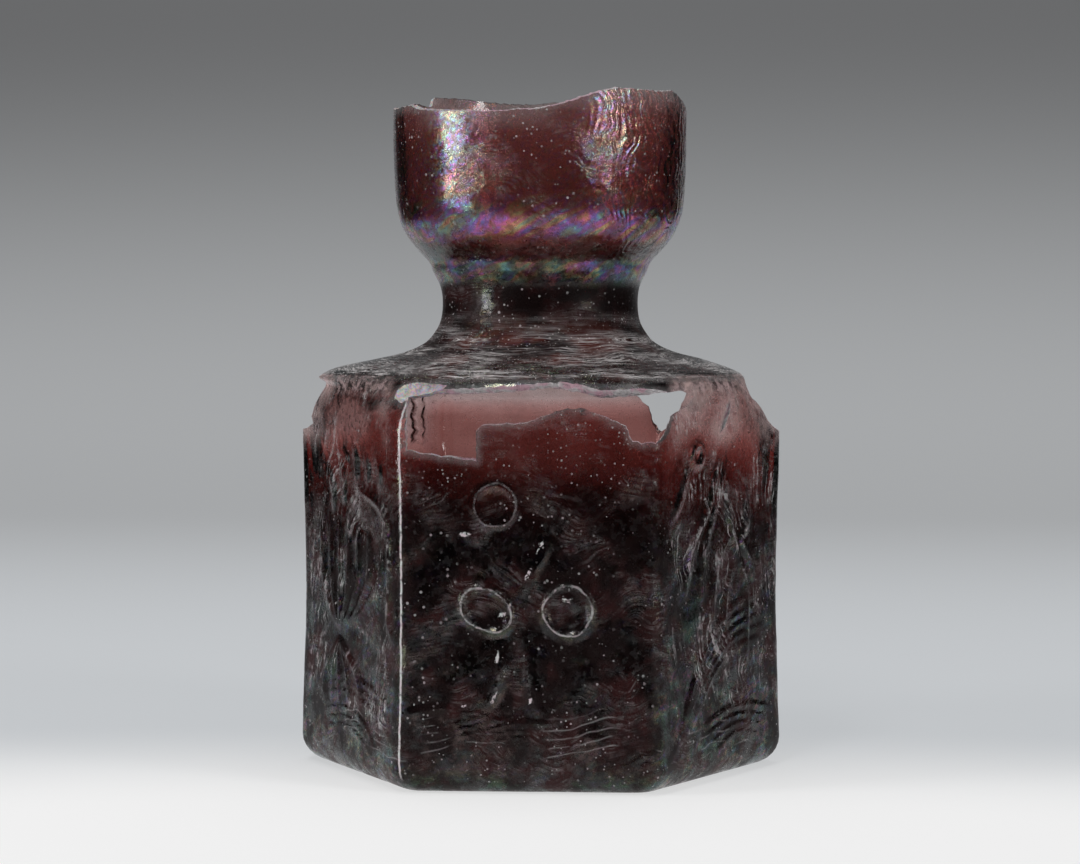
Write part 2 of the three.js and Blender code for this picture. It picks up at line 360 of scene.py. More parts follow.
def cup_threads(surface):
    """Upright threads on the right side of the cup."""
    phase = surface.x + surface.noise(0.12) * 9.0 + surface.noise(0.5) * 0.8
    return thread_lines(phase, 0.75, 1.5) * surface.x.step(5.0, 11.0) * surface.z.step(58.0, 62.0)


def outer_bump(surface, lines, fine, shoulder, drift):
    """Threads, grain, ripples, pits and worn crests, gentler at the two far corners."""
    grain = surface.noise(3.2, 3.0, 0.6)
    ripple = surface.noise(0.45)
    pocks = scattered_dots(surface, 1.7, 0.22, 0.5)
    crest = surface.attribute("ridge").step(0.25, 0.8)
    height = lines * (shoulder * 0.05 + drift * 0.014) + fine * (shoulder * 0.02 + drift * 0.005)
    height = height + grain * (shoulder * 0.02 + 0.005) + ripple * 0.03 - pocks * 0.02 + crest * 0.012
    height = height + cup_threads(surface) * 0.05
    return surface.bump(height * surface.x.abs().step(28.0, 26.0, 0.25, 1.0))


def glass_volume(surface, finish):
    return surface.node("ShaderNodeVolumeAbsorption", inputs={
        "Color": finish.glass_colour, "Density": finish.glass_density / MM}).out()


def deep_shade(surface, finish):
    """The tint of the glass: clear high up, smoky below the shoulder and round the neck, in ragged steps."""
    z = surface.z
    front = surface.x.abs().step(16.0, 13.0) * surface.y.step(-19.0, -22.0)
    ragged = z + surface.wander(16.0, 0.13, 3.0, 0.6) - front * 7.0
    body = ragged.step(38.0, 20.0) * z.step(47.0, 43.0)
    neck = z.band(45.4, 46.4, 59.8, 62.5)
    smoky = surface.mix(surface.noise(0.5, 4.0, 0.65).step(0.4, 0.62), finish.deep_tint, finish.deep_tint_two)
    shade = surface.mix(body, (1, 1, 1), smoky)
    return surface.mix(neck * 0.9, shade, finish.deep_tint_two)


def iridescent_film(surface, finish, normal):
    """A bright film whose colours run in slanting streaks, with fine speckles of other colours."""
    x, y, z = surface.x, surface.y, surface.z
    slant = surface.vector((x * 0.86 + z * 0.5) * 0.10, y * 0.2, (z * 0.86 - x * 0.5) * 0.45)
    streaks = surface.noise(1.0, 3.0, 0.6, 0.5, slant) * 4.2
    speckle = surface.noise(2.0, 2.0, 0.6) * (z.step(66.0, 68.0) * 1.6 + 0.35)
    phase = (streaks + speckle + z * 0.04).fraction()
    colour = surface.mix(0.28, surface.ramp(phase, RAINBOW), finish.film_haze)
    return surface.principled(base_color=colour, metallic=1.0, roughness=0.22, normal=normal)


def film_cover(surface):
    """How much film there is: most on the foot of the cup and the neck, thin patches elsewhere."""
    x, z = surface.x, surface.z
    foot = z.band(61.0, 62.4, 64.0, 67.5) + z.band(56.6, 57.6, 59.0, 60.2) * 0.8
    cup = z.step(62.0, 65.0) * 0.22
    patchy = surface.noise(0.5, 4.0, 0.65).step(0.42, 0.62)
    broken = surface.noise(2.2, 3.0, 0.7).step(0.42, 0.58)
    body = z.step(50.0, 46.0)
    throat = z.band(48.6, 49.6, 51.0, 53.0) * x.step(8.0, 0.0) * broken * 0.5
    low = x.abs().step(13.0, 16.0) * z.step(34.0, 24.0) * 0.2 + 0.04
    cover = throat + foot * (patchy * 0.34 + 0.08) + cup * (broken * 0.95 + 0.05)
    cover = cover + patchy * broken * 0.05 * (1 - body) + body * patchy * broken * low
    return cover.held()


def corner_seam(surface):
    """The crusted arris between the front and left panels."""
    x, y, z = surface.x, surface.y, surface.z
    across = (x * math.cos(THIRTY) - y * math.sin(THIRTY)
              + surface.wander(0.5, 0.5, 3.0, 0.6, surface.upright()))
    outside = (reach_of(surface) + (z - 40.0).most(0.0) * 0.5).step(27.6, 28.0) * (y < 0) * (x < 0)
    gaps = surface.noise(1.3, 3.0, 0.6, 0.0, surface.upright()).step(0.30, 0.5)
    return across.abs().step(0.19, 0.06) * outside * gaps * z.band(1.0, 3.0, 44.2, 45.0)


def ring_line(surface, middle, long, short, slope):
    """A thin, uneven pale outline round an oval on the front panel."""
    dx = surface.x - middle[0] + surface.wander(0.7, 0.5)
    dz = surface.z - middle[1] + surface.wander(0.7, 0.45, 3.0)
    along, across = oval_share(dx, dz, long, short, slope)
    away = ((along * along + across * across).root() - 1).abs() * ((long + short) / 2)
    return away.step(0.16, 0.05)


def front_glints(surface):
    """Painted highlights: small bright glints on the front panel."""
    ragged_x = surface.x + surface.wander(0.8, 1.6, 3.0, 0.7)
    ragged_z = surface.z + surface.wander(0.8, 1.4, 3.0, 0.7)
    total = 0
    for (x, z), long, short, slope in FRONT_GLINTS:
        along, across = oval_share(ragged_x - x, ragged_z - z, long, short, slope)
        total = (along * along + across * across).step(1.0, 0.5) + total
    return total * surface.y.step(-23.5, -24.0) * surface.noise(2.2, 3.0, 0.7).step(0.4, 0.5)


def foot_waves(surface):
    """Thin pale waves over the foot of the panels."""
    x = surface.x
    bend = (x * 0.42 + 1.0).sin() * 0.7 + x.abs() * 0.11 + surface.wander(4.0, 0.12)
    phase = surface.z + bend
    waves = thread_lines(phase, 0.95, 16.0) * phase.band(5.2, 6.0, 9.4, 9.9)
    return waves * surface.noise(0.22, 3.0, 0.6).step(0.47, 0.6) * (surface.y < -4)


def drawn_lines(surface):
    """Pale lines on the front: round the ovals, in waves over the foot, and in small bright marks that are
    painted highlights.
    """
    rings = ring_line(surface, (-4.6, 20.5), 3.0, 2.2, -32)
    rings = rings.most(ring_line(surface, (4.5, 20.4), 2.7, 2.75, 0))
    rings = rings.most(ring_line(surface, (-3.6, 32.0), 2.4, 2.3, 0) * 0.35)
    rings = rings * surface.y.step(-24.0, -24.4) * surface.noise(0.7, 4.0, 0.8).step(0.42, 0.54, 0.15, 1.0)
    return rings * 0.5 + foot_waves(surface) * 0.2 + front_glints(surface) * 0.9


def side_fold_glints(surface):
    """Painted highlights: long pale glints that run up the two side panels, as if along their folds."""
    x, y, z = surface.x, surface.y, surface.z
    side = (x > 0) * 2 - 1
    across = x * 0.5 + y * side * 0.866
    bent = across + z * side * 0.22 + surface.wander(9.0, 0.09) + surface.wander(1.6, 0.4)
    field = surface.noise(1.0, 3.0, 0.6, 0.0, surface.vector(z * 0.06, bent * 0.8, side * 4.0))
    return contour(field, 12.0) * x.abs().step(14.6, 16.0) * y.step(3.0, -1.0) * z.band(3.0, 8.0, 44.0, 45.6)


def clean_glass(surface, tint, normal, roughness, **film):
    return surface.principled(
        base_color=tint, transmission_weight=1.0, ior=1.5, specular_ior_level=0.36, roughness=roughness,
        normal=normal, **film)


def neck_glint(surface):
    """The one narrow, wavering upright strip of the neck that stays glossy."""
    turn = surface.x / (surface.y.abs() + 0.1) + surface.wander(0.22, 0.5, 3.0, 0.6, surface.upright())
    return (turn + 0.53).abs().step(0.12, 0.04) * (surface.y < 0)


def pale_edge(surface):
    """Where the thin side walls are frosted: under the shoulder and towards the breaks."""
    z = surface.z
    side = surface.x.abs().step(14.8, 17.0) * surface.y.step(14.0, 4.0)
    under = z.band(43.4, 44.8, 45.9, 46.3) * (surface.noise(1.1, 4.0, 0.7).step(0.4, 0.6) * 0.4 + 0.04)
    worn = surface.attribute("pale") * z.band(36.0, 40.0, 45.9, 46.4)
    return ((under + worn * surface.noise(0.5, 4.0, 0.65).step(0.3, 0.62) * 0.55) * side).held()


def pale_frost(surface, finish, normal):
    colour = surface.mix(surface.noise(0.5, 3.0).step(0.4, 0.6), finish.frost_colour, finish.frost_tint)
    return surface.principled(base_color=colour, roughness=0.5, normal=normal)


def shade_skin_and_rust(surface, finish, shoulder, normal):
    """The dull skin: painted shade low on the body and round the neck, rust over the shoulder; its cover,
    then its shader.
    """
    x, z = surface.x, surface.z
    matt_shade = z.step(36.0, 24.0) * surface.noise(0.3, 5.0, 0.68).step(0.36, 0.58) * 0.88
    # Painted shade: dark skin round the neck, all but the one glossy strip.
    throat = z.band(47.5, 49.0, 56.0, 57.5) * (1 - neck_glint(surface)) * 0.9
    rust = shoulder * x.abs().step(16.0, 8.0) * surface.noise(0.22, 3.0, 0.6).step(0.4, 0.6)
    colour = surface.mix(surface.noise(0.16, 3.0, 0.6).step(0.45, 0.62), finish.shade_skin_and_rust, finish.wine)
    colour = surface.mix(rust, colour, finish.rust)
    skin = surface.principled(base_color=colour, roughness=0.45, specular_ior_level=0.12, normal=normal)
    return matt_shade.most(throat).most(rust * 0.75), skin


def crust_cover(surface, lines, fine, shoulder, drift):
    """How much crust there is: specks, streaks, relief crests, the seam, drifts, drawn lines and fold glints;
    the glints are painted highlights.
    """
    x, y, z = surface.x, surface.y, surface.z
    dusty = surface.noise(0.22, 3.0, 0.6).step(0.36, 0.62)
    neck = z.band(44.6, 46.5, 55.0, 60.0)
    specks = scattered_dots(surface, 1.1, 0.15, 0.5).most(scattered_dots(surface, 1.9, 0.2, 0.4))
    specks = specks * (dusty * dusty * 0.4 + neck * 0.3 + z.step(58.0, 62.0) * 0.3 + 0.04)
    sparkle = scattered_dots(surface, 2.4, 0.17, 0.85) * shoulder * surface.noise(0.35).step(0.35, 0.55)
    woven = surface.noise(1.0, 3.0, 0.6, 0.0, surface.vector(x * 0.10, y * 0.10, z * 0.9)).step(0.42, 0.6)
    streaks = (lines ** 5 * 1.1 + fine ** 5) * shoulder * (woven * 0.9 + 0.06) + sparkle * 0.9
    crests = surface.attribute("ridge").step(0.6, 0.98) * surface.noise(1.3, 4.0, 0.7).step(0.46, 0.6)
    crests = crests * (x.abs().step(14.5, 16.0) * 0.25 + 0.15)
    frost = surface.noise(0.8, 5.0, 0.75).step(0.44, 0.60)
    drifts = lines ** 3 * drift * frost * 0.16
    # Painted highlights along the folds of the side panels.
    fold_glints = side_fold_glints(surface).step(0.55, 1.0) * surface.noise(0.17, 3.0, 0.6).step(0.48, 0.6)
    cover = specks + streaks + crests + corner_seam(surface) * 0.85 + drifts
    cover = cover + surface.attribute("worn") * 0.15 + drawn_lines(surface) + fold_glints * (frost * 0.5 + 0.1)
    return cover.held()


def weathered_side(surface, finish, tint):
    """The outside: clear glass with film and a dull skin of painted shade and rust, threaded and pitted, then
    crusted and frosted.
    """
    lines, fine, shoulder, drift = threads(surface)
    normal = outer_bump(surface, lines, fine, shoulder, drift)
    dull = surface.noise(1.3, 3.0, 0.6).step(0.46, 0.58) * 0.26 + 0.03
    clear = clean_glass(surface, tint, normal, dull)
    filmy = clean_glass(surface, tint, normal, 0.06, thin_film_thickness=finish.film_thickness,
                        thin_film_ior=finish.film_ior)
    glass = surface.blend(surface.noise(0.35, 4.0, 0.65).step(0.48, 0.6) * 0.35, clear, filmy)
    glass = surface.blend(film_cover(surface), glass, iridescent_film(surface, finish, normal))
    covered, skin = shade_skin_and_rust(surface, finish, shoulder, normal)
    glass = surface.blend(covered, glass, skin)
    colour = surface.mix(surface.noise(1.4).step(0.35, 0.65), finish.crust_colour, finish.crust_tint)
    colour = surface.mix(shoulder * 0.8, colour, finish.shoulder_crust)
    crust = surface.principled(base_color=colour, roughness=0.35, normal=normal, specular_ior_level=0.6)
    crusted = surface.blend(crust_cover(surface, lines, fine, shoulder, drift), glass, crust)
    return surface.blend(pale_edge(surface), crusted, pale_frost(surface, finish, normal))


def inner_side(surface, finish, tint):
    """The inside of the walls, softly rippled, with a few dark folds far left at the back."""
    x, y, z = surface.x, surface.y, surface.z
    height = surface.noise(0.4) * 0.12 + surface.noise(1.6) * 0.012
    sway = surface.noise(0.45, vector=surface.upright()) * 2.2
    folds = thread_lines(x + sway, 1.25, 3.0) * x.band(-20.2, -19.4, -16.2, -15.4)
    folds = folds * z.band(36.6, 38.0, 42.6, 43.6) * y.step(10, 14)
    colour = surface.mix(folds * 0.85, tint, finish.fold_colour)
    return clean_glass(surface, colour, surface.bump(height + folds * 0.25), 0.05)


def broken_side(surface, finish):
    """The fracture faces: frosted, with their pale colour also painting the light caught in the break, and
    pearly in the flake.
    """
    normal = surface.bump(surface.noise(1.6, 4.0, 0.7, 0.8) * 0.5)
    clear = clean_glass(surface, (1, 1, 1), normal, 0.15)
    hue = surface.mix(surface.noise(0.6, 3.0).step(0.4, 0.6), finish.edge_colour, finish.edge_tint)
    pearl = surface.ramp((surface.noise(1.1, 3.0, 0.6, 0.6) * 5.0).fraction(), RAINBOW)
    pearl = surface.mix(0.52, pearl, (1, 1, 1))
    hue = surface.mix(surface.x.band(-20.0, -18.0, -10.0, -8.5) * 0.8, hue, pearl)
    frost = surface.principled(base_color=hue, roughness=0.3, normal=normal)
    return surface.blend(surface.noise(1.2, 4.0, 0.7).step(0.3, 0.55, 0.7, 1.0), clear, frost)


def dark_glass(finish):
    """One glass for the whole jar: weathered outside, clean inside and frosted in the breaks."""
    surface = Surface("dark_glass")
    tint = deep_shade(surface, finish)
    outside, inside = weathered_side(surface, finish, tint), inner_side(surface, finish, tint)
    side = surface.blend(surface.attribute("lining"), outside, inside)
    side = surface.blend(surface.attribute("broken"), side, broken_side(surface, finish))
    return surface.finish(side, glass_volume(surface, finish))


def speck_crust(finish):
    surface = Surface("speck_crust")
    colour = surface.mix(surface.noise(0.8, 1.0), finish.crust_colour, finish.crust_tint)
    return surface.finish(surface.principled(base_color=colour, roughness=0.4))


# ---------------------------------------------------------------- shapes, as number fields

def catmull_rom(points, count):
    """Points along the smooth curve through the given ones."""
    points = np.array(points, float)
    last = len(points) - 1
    made = []
    for place in np.linspace(0, last, count):
        i = min(int(place), last - 1)
        t = place - i
        before, here, there, after = (points[min(max(j, 0), last)] for j in (i - 1, i, i + 1, i + 2))
        leave, arrive = (there - before) / 2, (after - here) / 2
        made.append((2 * here - 2 * there + leave + arrive) * t ** 3
                    + (-3 * here + 3 * there - 2 * leave - arrive) * t ** 2 + leave * t + here)
    return np.array(made)


def smoothstep(value, low, high):
    t = np.clip((value - low) / (high - low), 0, 1)
    return t * t * (3 - 2 * t)


def unevenness(places, size, seed, waves=9):
    """A smooth field from about -1 to 1 that wanders over the given distance."""
    rng = np.random.default_rng(seed)
    total = np.zeros(len(places))
    for _ in range(waves):
        direction = rng.normal(size=3)
        direction /= np.linalg.norm(direction)
        length = size * rng.uniform(0.6, 1.7)
        total += np.sin(places @ direction * (2 * math.pi / length) + rng.uniform(0, 2 * math.pi))
    return total / (waves ** 0.5 * 1.4)


def panel_radius(sizes, height):
    along = np.clip((height - sizes.foot_round) / (UPPER_PROFILE[0][1] - sizes.foot_round), 0, 1)
    return sizes.apothem - sizes.waist * np.sin(math.pi * along)


def outer_profile(sizes, foot_rows, body_rows, upper_rows):
    turns = np.linspace(0, math.pi / 2, foot_rows, endpoint=False)
    foot = np.stack([sizes.apothem - sizes.foot_round * (1 - np.sin(turns)),
                     sizes.foot_round * (1 - np.cos(turns))], 1)
    heights = np.linspace(sizes.foot_round, UPPER_PROFILE[0][1], body_rows, endpoint=False)
    body = np.stack([panel_radius(sizes, heights), heights], 1)
    return np.concatenate([foot, body, catmull_rom(UPPER_PROFILE, upper_rows)])


def inner_profile(sizes, *rows):
    """The outside moved inward, square to itself, by the thickness of the glass."""
    outside = outer_profile(sizes, *rows)
    before = np.vstack([[0, 0], outside[:-1]])
    after = np.vstack([outside[1:], outside[-1:]])
    along = after - before
    along /= np.linalg.norm(along, axis=1)[:, None]
    height = outside[:, 1]
    low = sizes.base_thickness + (sizes.wall_thickness - sizes.base_thickness) * smoothstep(height, 0, 9)
    thickness = low + (sizes.rim_thickness - low) * smoothstep(height, 54, 62)
    thickness -= (sizes.rim_thickness - sizes.thin_rim) * smoothstep(height, 73.5, 78.5)
    return np.stack([outside[:, 0] - along[:, 1] * thickness, outside[:, 1] + along[:, 0] * thickness], 1)


def stroke_field(x, z, points, width, height):
    """A raised line along a smooth curve on a panel, tapering to its ends."""
    line = catmull_rom(points, 4 * len(points) + 8)
    best = np.zeros(len(x))
    near = (x > line[:, 0].min() - 2) & (x < line[:, 0].max() + 2)
    near &= (z > line[:, 1].min() - 2) & (z < line[:, 1].max() + 2)
    px, pz = x[near], z[near]
    field = np.zeros(near.sum())
    spans = len(line) - 1
    for i, (start, end) in enumerate(zip(line[:-1], line[1:])):
        run = end - start
        t = np.clip(((px - start[0]) * run[0] + (pz - start[1]) * run[1]) / max(run @ run, 1e-9), 0, 1)
        away = np.hypot(px - start[0] - t * run[0], pz - start[1] - t * run[1])
        full = np.sin(math.pi * np.clip((i + t) / spans, 0.02, 0.98)) ** 0.5
        field = np.maximum(field, full * np.exp(-(away / (width * (0.35 + 0.65 * full))) ** 2))
    best[near] = field * height
    return best


def ring_field(x, z, middle, long, short, slope, width, height):
    """A raised outline of this width round an oval."""
    along, across = oval_share(x - middle[0], z - middle[1], long, short, slope)
    away = np.abs(np.hypot(along, across) - 1) * (long + short) / 2
    return height * np.exp(-(away / width) ** 2)


def relief_field(x, z, high, rings, strokes):
    """The highest of a panel's rings and strokes; each ends with its share of the full height."""
    fields = [ring_field(x, z, *ring, high * share) for *ring, share in rings]
    fields += [stroke_field(x, z, points, width, high * share) for points, width, share in strokes]
    return np.maximum.reduce(fields)


def front_relief(x, z, high):
    """An oval and two rings with curls, short strokes about them, and waves over the foot."""
    rings = [
        ((-4.6, 20.5), 2.9, 2.1, -32, 0.42, 1),
        ((4.5, 20.4), 2.6, 2.65, 0, 0.42, 1),
        ((-3.6, 32), 2.3, 2.2, 0, 0.34, 0.55),
    ]
    strokes = [
        ([(3.6, 21.1), (4.3, 21.5), (5.0, 21.2)], 0.75, 1),
        ([(4.2, 18.6), (5.0, 19.0), (5.9, 19.6)], 0.4, 0.6),
        ([(-5.9, 20.6), (-4.9, 21.5), (-3.6, 21.2)], 0.4, 0.6),
        ([(2.6, 28.3), (1.2, 25.6), (-0.2, 22.9)], 0.55, 0.6),
        ([(-3, 16.6), (-3.1, 13), (-4.6, 9.4)], 0.6, 0.9),
        ([(0.2, 16.2), (0.1, 12), (1.2, 9)], 0.6, 0.9),
        ([(1.2, 32.6), (2.4, 30.8), (2.6, 28.9)], 0.4, 0.35),
        ([(6.6, 32.2), (7.3, 30.6), (7.6, 29)], 0.5, 0.4),
        ([(-7.2, 29.6), (-6.2, 28.3), (-5.4, 28.1)], 0.45, 0.45),
        ([(-14, 8.7), (-11, 9.4), (-8, 9.8)], 0.22, 0.35),
    ]
    for i in range(5):
        drop = 0.62 * i
        wave = [(-9.5, 9.4 - drop), (-6, 8.9 - drop), (-2, 8.1 - drop), (3, 7.9 - drop), (7.6, 6.3 - drop),
                (13.2, 4.4 - drop * 0.7)]
        strokes.append((wave, 0.17, 0.42 - 0.05 * i))
    return relief_field(x, z, high, rings, strokes)


def left_relief(x, z, high):
    """Upright loops nested about a stem, with short strokes above, leaves at its foot and waves below."""
    stem = -2.6
    loops = [(-7.9, 28.4), (-5.2, 28.9), (-2.6, 29.3), (0, 29.2), (3, 28.8), (6.1, 28.2), (9.2, 28.3)]
    strokes = []
    for left, top in loops:
        side = [(left, top), (left * 0.97, 23.4), (stem + 0.55 * (left - stem), 19.2), (stem, 16.8)]
        strokes.append((side, 0.6, 0.7))
    for left, top in [(-5.2, 34.6), (-1.8, 35.8), (1.9, 38.6), (5.2, 38.2), (8.6, 37.6)]:
        strokes.append(([(left, top), (left + 1, top - 2), (left + 0.7, top - 4.2)], 0.6, 0.55))
    for foot in [-7.2, -4.8, -2.6, 0.6, 4]:
        strokes.append(([(-2.8, 15.6), (-2.8 + 0.8 * (foot + 2.8), 11.8), (foot, 8.6)], 0.5, 0.8))
    for i in range(3):
        upper = [(-7.7, 10.4 - i), (-3, 11.4 - i), (1.9, 11.5 - i), (9.3, 10.1 - 1.2 * i),
                 (12.5, 8.6 - 1.6 * i)]
        lower = [(-6.8, 6.9 - i), (0.2, 7.7 - i), (5.2, 6.4 - i), (9.3, 2.9 - 0.4 * i)]
        strokes += [(upper, 0.22, 0.45), (lower, 0.26, 0.4)]
    strokes.append(([(3.5, 33.2), (10.1, 31), (12, 25.8), (11.3, 19.4), (12.4, 17)], 0.6, 1))
    return relief_field(x, z, high, [], strokes)


def right_relief(x, z, high):
    """Long leaves leaning across the panel, beside a pointed one, over rows of leaning and lying lines."""
    strokes = [
        ([(-1.1, 35.6), (-2.9, 31.4), (-6.7, 27), (-8, 21.8)], 0.65, 1),
        ([(0.6, 35.3), (-2.1, 30.1), (-4.2, 25.6), (-4.2, 20.8)], 0.55, 0.9),
        ([(-7.9, 36.2), (-9.3, 32.8), (-11.2, 30.2)], 0.6, 0.8),
        ([(1.2, 34.2), (1.3, 31.4), (3.9, 25.1), (5.9, 21.6), (6, 13)], 0.5, 1),
        ([(5.3, 33.4), (5.9, 29), (4.6, 27.2), (6.8, 24.4), (8.2, 20.6)], 0.5, 1),
        ([(2.6, 28), (0.2, 26), (-1.6, 22.6), (-1.9, 17)], 0.45, 0.8),
        ([(3.4, 24.6), (1.6, 22), (1, 18), (1.6, 13)], 0.4, 0.6),
    ]
    for i in range(5):
        leaning = [(-12 + 0.6 * i, 3.6 + 0.5 * i), (-7, 7 + 0.9 * i), (-2, 12 + 1.1 * i), (3, 14.6 + 1.2 * i),
                   (10, 15.4 + 1.3 * i)]
        strokes.append((leaning, 0.3, 0.4))
    for i in range(4):
        strokes.append(([(-1.6 - i, 3.4 + i), (3.2, 5 + i), (9 + i, 3.9 + i)], 0.3, 0.45))
    return relief_field(x, z, high, [((-5.8, 37.2), 1.2, 1.1, 0, 0.4, 0.8)], strokes)


def relief_at(places, sizes):
    """Relief height over the outside, and which way it stands out, for places in millimetres."""
    turn = np.arctan2(places[:, 0], -places[:, 1])
    panel = np.round(turn / (2 * THIRTY)).astype(int)
    outward = panel * 2 * THIRTY
    x = places[:, 0] * np.cos(outward) + places[:, 1] * np.sin(outward)
    z = places[:, 2]
    height = np.zeros(len(places))
    for which, relief in ((FRONT, front_relief), (LEFT, left_relief), (RIGHT, right_relief)):
        on = (panel == which) & (z < sizes.shoulder_foot + 2)
        height[on] = relief(x[on], z[on], sizes.ridge_height)
    edge = smoothstep(14.3 - np.abs(x), 0, 1.2)
    normals = np.stack([np.sin(outward), -np.cos(outward), np.zeros(len(places))], 1)
    return height * edge, normals


# ---------------------------------------------------------------- mesh helpers

def mesh_object(name, places, faces, material=None):
    mesh = bpy.data.meshes.new(name)
    mesh.from_pydata([tuple(p) for p in places], [], faces)
    mesh.update()
    if material:
        mesh.materials.append(material)
    made = bpy.data.objects.new(name, mesh)
    bpy.context.scene.collection.objects.link(made)
    return made


def sheet_object(name, rows, columns, material):
    """A flat sheet whose corners hold turn, radius and height, ready to be rolled up."""
    turns = np.asarray(columns)
    places = [(turn, r * MM, z * MM) for turn in turns for r, z in rows]
    n = len(rows)
    faces = [(i * n + j, (i + 1) * n + j, (i + 1) * n + j + 1, i * n + j + 1)
             for i in range(len(turns) - 1) for j in range(n - 1)]
    return mesh_object(name, places, faces, material)


def plain_mesh(made):
    """The object's evaluated shape as its own mesh, with its modifiers taken off."""
    bpy.context.view_layer.update()
    evaluated = made.evaluated_get(bpy.context.evaluated_depsgraph_get())
    mesh = bpy.data.meshes.new_from_object(evaluated, depsgraph=bpy.context.evaluated_depsgraph_get())
    made.modifiers.clear()
    old = made.data
    made.data = mesh
    bpy.data.meshes.remove(old)
    return made


def with_nodes(made, tree, **inputs):
    """Runs a geometry tree on an object, with its inputs set by socket identifier."""
    modifier = made.modifiers.new(tree.name, "NODES")
    modifier.node_group = tree
    sockets = {item.name: item.identifier for item in tree.interface.items_tree if item.in_out == "INPUT"}
    for name, given in inputs.items():
        modifier[sockets[name.replace("_", " ").title()]] = given
    return plain_mesh(made)


def corners_of(made):
    places = np.empty(len(made.data.vertices) * 3)
    made.data.vertices.foreach_get("co", places)
    return places.reshape(-1, 3)


def set_corners(made, places):
    made.data.vertices.foreach_set("co", np.asarray(places, float).ravel())
    made.data.update()


def edit_mesh(made, edit):
    """Runs an edit on an object's mesh."""
    shape = bmesh.new()
    shape.from_mesh(made.data)
    edit(shape)
    shape.to_mesh(made.data)
    shape.free()


def turn_outward(shape):
    bmesh.ops.remove_doubles(shape, verts=shape.verts, dist=1e-4 * MM)
    bmesh.ops.recalc_face_normals(shape, faces=shape.faces)
    if shape.calc_volume(signed=True) < 0:
        bmesh.ops.reverse_faces(shape, faces=shape.faces)


def face_outward(made):
    """Merges doubles and turns every face of a closed mesh outward."""
    edit_mesh(made, turn_outward)


def cut(made, cutter):
    modifier = made.modifiers.new("cut", "BOOLEAN")
    modifier.operation = "DIFFERENCE"
    modifier.solver = "MANIFOLD"
    modifier.object = cutter
    modifier.material_mode = "TRANSFER"
    plain_mesh(made)
    bpy.data.objects.remove(cutter)


# ---------------------------------------------------------------- geometry trees

def named_inputs(tree, **defaults):
    tree.interface.new_socket("Geometry", in_out="INPUT", socket_type="NodeSocketGeometry")
    for name, default in defaults.items():
        kind = "NodeSocketInt" if isinstance(default, int) else "NodeSocketFloat"
        if isinstance(default, bpy.types.Material):
            kind = "NodeSocketMaterial"
        socket = tree.interface.new_socket(name.replace("_", " ").title(), in_out="INPUT", socket_type=kind)
        socket.default_value = default
    tree.interface.new_socket("Geometry", in_out="OUTPUT", socket_type="NodeSocketGeometry")


def send_out(flow, shape, material):
    """Makes a tree's instances real, gives them their material and sends them out."""
    whole = flow.node("GeometryNodeRealizeInstances", inputs={"Geometry": shape})
    finished = flow.node("GeometryNodeSetMaterial", inputs={"Geometry": whole, "Material": material})
    flow.node("NodeGroupOutput", inputs={"Geometry": finished})


def rolled_hexagon_tree(sizes, material):
    """Rolls a sheet of turn, radius and height up into a hexagonal body, round above its shoulder."""
    tree = bpy.data.node_groups.new("rolled_hexagon", "GeometryNodeTree")
    named_inputs(tree, corner_round=sizes.corner_round * MM, shoulder_foot=sizes.shoulder_foot * MM,
                 shoulder_edge=sizes.shoulder_edge * MM, glass=material)
    flow = Flow(tree)
    given = flow.node("NodeGroupInput")
    corner = given.out("Corner Round")
    turn, radius, height = flow.parts(flow.node("GeometryNodeInputPosition").out())
    off = (turn - (turn / (2 * THIRTY)).round() * (2 * THIRTY)).abs()
    apothem = radius.most(corner + MM)
    on_flat = (off.tan() * apothem) < ((apothem - corner) * math.tan(THIRTY))
    centre = (apothem - corner) / math.cos(THIRTY)
    off_corner = THIRTY - off
    round_reach = centre * off_corner.cos() + (corner ** 2 - (centre * off_corner.sin()) ** 2).most(0).root()
    hexagon = on_flat * (apothem / off.cos()) + (1 - on_flat) * round_reach
    square = height.step(given.out("Shoulder Foot"), given.out("Shoulder Edge"), 1, 0)
    reach = (radius + square * (hexagon - radius)) * (radius > 0)
    place = flow.vector(reach * turn.sin(), -(reach * turn.cos()), height)
    moved = flow.node("GeometryNodeSetPosition", inputs={
        "Geometry": given.out("Geometry"), "Position": place})
    joined = flow.node("GeometryNodeMergeByDistance", inputs={"Geometry": moved.out(), "Distance": 1e-3 * MM})
    send_out(flow, joined, given.out("Glass"))
    return tree


def scattered_specks_tree(sizes, material):
    """Scatters flat grains of crust over a surface and leaves only the grains."""
    tree = bpy.data.node_groups.new("scattered_specks", "GeometryNodeTree")
    named_inputs(tree, density=sizes.speck_density, grain_radius=sizes.speck_radius * MM, seed=7,
                 crust=material)
    flow = Flow(tree)
    given = flow.node("NodeGroupInput")
    spots = flow.node("GeometryNodeDistributePointsOnFaces", {"distribute_method": "RANDOM"}, {
        "Mesh": given.out("Geometry"), "Density": given.out("Density"), "Seed": given.out("Seed")})
    grain = flow.node("GeometryNodeMeshIcoSphere", inputs={
        "Radius": given.out("Grain Radius"), "Subdivisions": 1})
    least, most = 0.35, 1.0
    size = flow.node("FunctionNodeRandomValue", {"data_type": "FLOAT"}, {
        2: least, 3: most, "Seed": given.out("Seed")})
    spread = size.out(1)
    scale = flow.vector(spread, spread * 0.8, spread * 0.4)
    placed = flow.node("GeometryNodeInstanceOnPoints", inputs={
        "Points": spots.out("Points"), "Instance": grain.out("Mesh"), "Rotation": spots.out("Rotation"),
        "Scale": scale})
    send_out(flow, placed, given.out("Crust"))
    return tree


# ---------------------------------------------------------------- the jar

